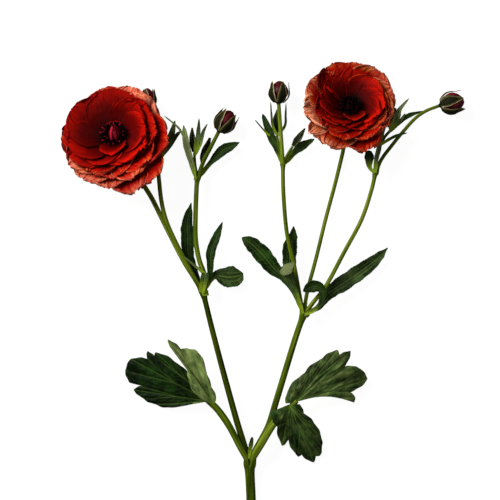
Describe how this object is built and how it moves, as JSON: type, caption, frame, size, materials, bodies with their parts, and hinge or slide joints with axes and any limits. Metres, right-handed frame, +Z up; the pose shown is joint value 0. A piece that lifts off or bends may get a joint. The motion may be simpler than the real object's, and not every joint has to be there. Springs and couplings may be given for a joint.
{
  "type": "persian buttercup flower",
  "caption": "Cut branching stem of a red Persian buttercup lying on its side, with open ruffled blooms, dark buds and lobed leaves.",
  "frame": {"origin": "middle of the bounding box's bottom face, on the surface that the cut flower lies on", "axes": "+Y along the main stem from its cut end to the blooms, +X to the right seen from above, +Z up, the way the blooms face"},
  "size_m": [0.2269, 0.2954, 0.0289],
  "materials": {
    "stem": "satin, fine lengthwise ribs",
    "leaf": "matte green with paler veins",
    "petal": "silky, deep red with salmon rims",
    "eye": "matte, nearly black",
    "bud_petal": "satin dark maroon",
    "sepal": "matte dark green with cream edges",
    "bud_green": "matte dark green"
  },
  "bodies": {
    "root": {"stem": "stem", "leaf_lower_left": "leaf", "leaf_lower_right": "leaf", "bract_fork": "leaf", "leaves_left_node": "leaf", "leaves_right_node": "leaf", "leaf_right_long": "leaf", "bracts_bud_back": "leaf", "leaves_upper_left": "leaf", "prongs_upper_left": "leaf", "leaves_upper_middle": "leaf", "bracts_small_top": "leaf", "leaves_upper_right": "leaf", "leaves_shoot_right": "leaf", "small_bud_left": "bud_green", "small_bud_left_low": "bud_green", "small_bud_top": "bud_green", "small_bud_top_right": "bud_green", "small_bud_right": "bud_green", "petals_left": "petal", "eye_left": "eye", "calyx_left": "leaf", "petals_right": "petal", "eye_right": "eye", "calyx_right": "leaf", "bud_petals_left": "bud_petal", "bud_sepals_left": "sepal", "bud_petals_back": "bud_petal", "bud_sepals_back": "sepal", "bud_petals_top": "bud_petal", "bud_sepals_top": "sepal", "bud_petals_right": "bud_petal", "bud_sepals_right": "sepal"}
  },
  "joints": []
}
